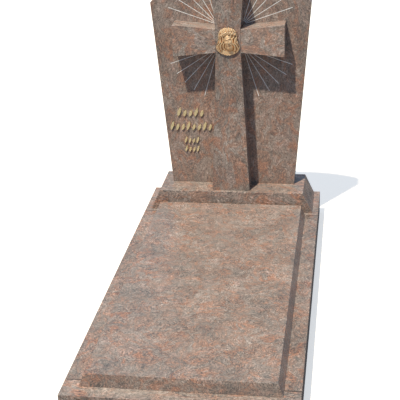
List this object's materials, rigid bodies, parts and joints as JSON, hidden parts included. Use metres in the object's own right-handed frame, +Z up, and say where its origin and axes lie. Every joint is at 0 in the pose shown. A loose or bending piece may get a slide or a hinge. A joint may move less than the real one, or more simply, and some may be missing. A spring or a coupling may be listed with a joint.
{
  "type": "grave monument",
  "caption": "Granite grave monument: kerb frame with cover slab, and a plinth with a flared headstone, cross, engraved rays and bronze relief head.",
  "frame": {"origin": "on the ground at the middle of the kerb frame, the centre of the bounding box's underside", "axes": "+Z up; +Y from the foot of the grave (the front) to the headstone; +X to the right as seen from the front"},
  "size_m": [0.9, 2.021, 1.3721],
  "materials": {
    "granite": "polished pinkish-brown granite with grey and salmon streaks",
    "granite_dark": "polished pinkish-brown granite, grain upright",
    "bronze": "cast bronze, polished on the high places and dark in the hollows",
    "gilt_bronze": "satin gilt bronze"
  },
  "bodies": {
    "root": {"foot_kerb": "granite", "head_kerb": "granite", "kerb_left": "granite", "kerb_right": "granite", "cover_slab": "granite", "plinth": "granite", "headstone": "granite_dark", "cross_upright": "granite_dark", "cross_arm_left": "granite", "cross_arm_right": "granite", "bronze_head": "bronze", "stroke_1_1": "gilt_bronze", "stroke_1_2": "gilt_bronze", "stroke_1_3": "gilt_bronze", "stroke_1_4": "gilt_bronze", "stroke_1_5": "gilt_bronze", "stroke_2_1": "gilt_bronze", "stroke_2_2": "gilt_bronze", "stroke_2_3": "gilt_bronze", "stroke_2_4": "gilt_bronze", "stroke_2_5": "gilt_bronze", "stroke_2_6": "gilt_bronze", "stroke_2_7": "gilt_bronze", "stroke_2_8": "gilt_bronze", "stroke_3_1": "gilt_bronze", "stroke_3_2": "gilt_bronze", "stroke_3_3": "gilt_bronze", "stroke_3_4": "gilt_bronze", "stroke_4_1": "gilt_bronze", "stroke_4_2": "gilt_bronze", "stroke_4_3": "gilt_bronze", "stroke_4_4": "gilt_bronze"}
  },
  "joints": []
}
